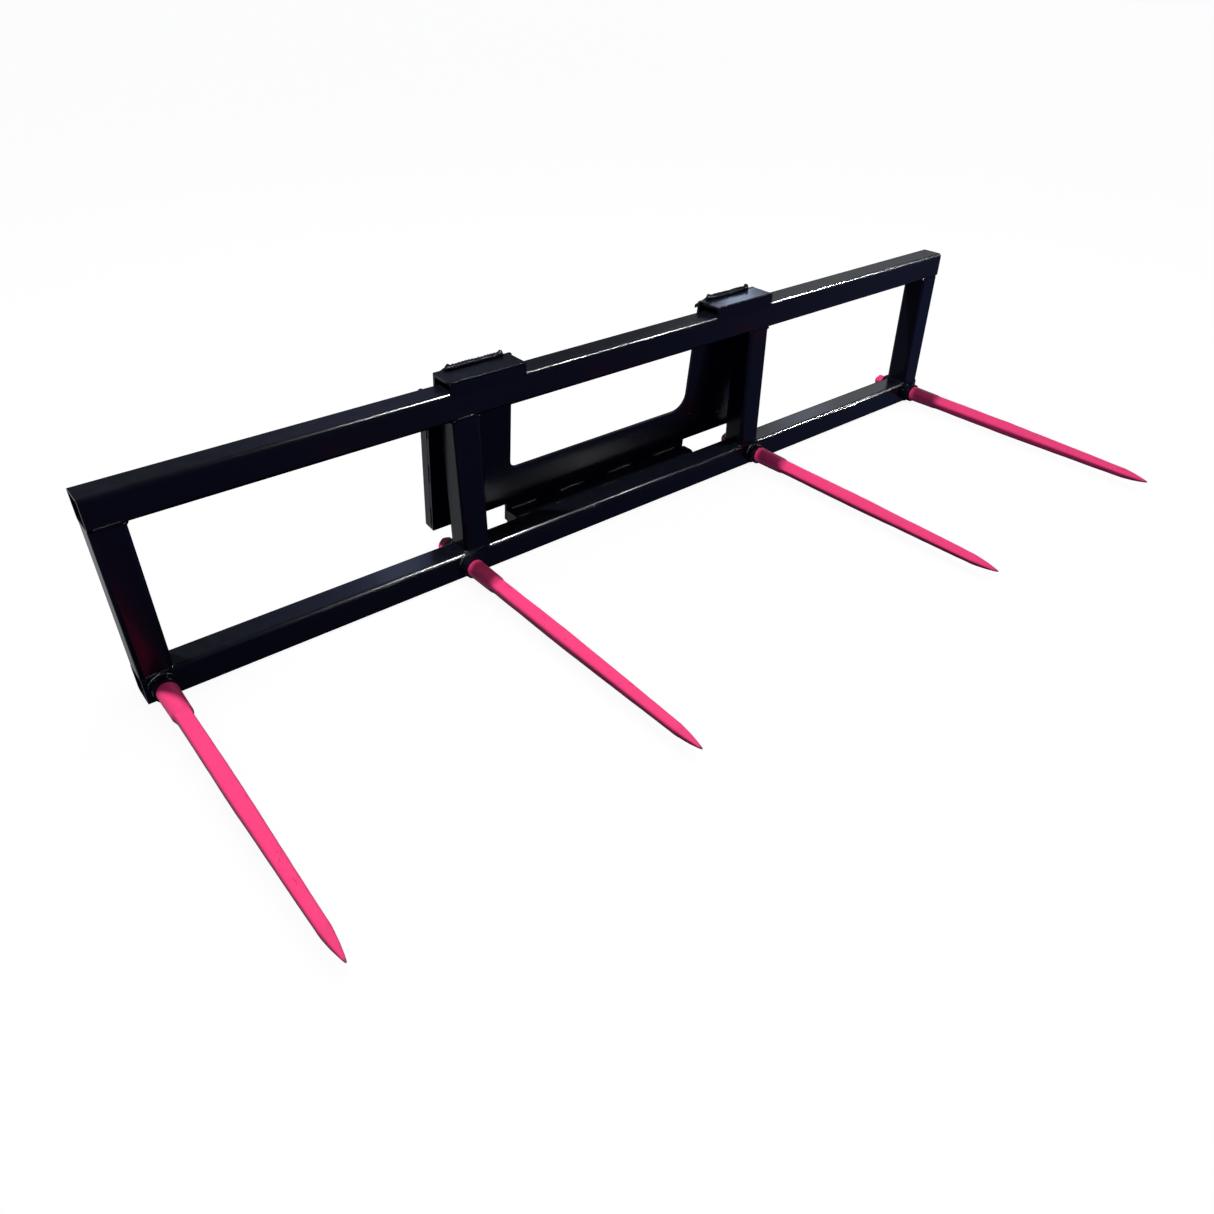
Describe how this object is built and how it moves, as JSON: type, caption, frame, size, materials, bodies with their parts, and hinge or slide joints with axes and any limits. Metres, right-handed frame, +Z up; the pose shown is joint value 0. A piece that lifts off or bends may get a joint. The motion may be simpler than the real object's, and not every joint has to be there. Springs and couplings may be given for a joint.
{
  "type": "bale spear attachment",
  "caption": "Wide rectangular tube frame carrying a row of long forward-pointing bale spears, with a leaning quick-attach plate behind it for a skid-steer loader.",
  "frame": {"origin": "under the middle of the bottom rail, on the surface the rail stands on", "axes": "+X along the rails, -Y the way the tines point, +Y towards the loader, +Z up"},
  "size_m": [2.75, 1.0653, 0.5491],
  "materials": {
    "frame_paint": "gloss black with a blue tint",
    "weld_paint": "gloss black over rippled weld metal",
    "tine_paint": "satin bright pink",
    "fixing_paint": "satin bright pink"
  },
  "bodies": {
    "root": {"top_rail": "frame_paint", "bottom_rail": "frame_paint", "post_left_end": "frame_paint", "post_left_mid": "frame_paint", "post_right_mid": "frame_paint", "post_right_end": "frame_paint", "bush_1": "frame_paint", "bush_2": "frame_paint", "bush_3": "frame_paint", "bush_4": "frame_paint", "tine_1": "tine_paint", "tine_2": "tine_paint", "tine_3": "tine_paint", "tine_4": "tine_paint", "washers": "fixing_paint", "nuts": "fixing_paint", "plate": "frame_paint", "lower_flange": "frame_paint", "spacer": "frame_paint", "spacer_caps": "frame_paint", "cheek_left": "frame_paint", "cheek_right": "frame_paint", "saddle_left": "frame_paint", "saddle_right": "frame_paint", "hook_left": "frame_paint", "hook_right": "frame_paint", "welds_posts": "weld_paint", "welds_bushes": "weld_paint", "welds_plate": "weld_paint"}
  },
  "joints": []
}
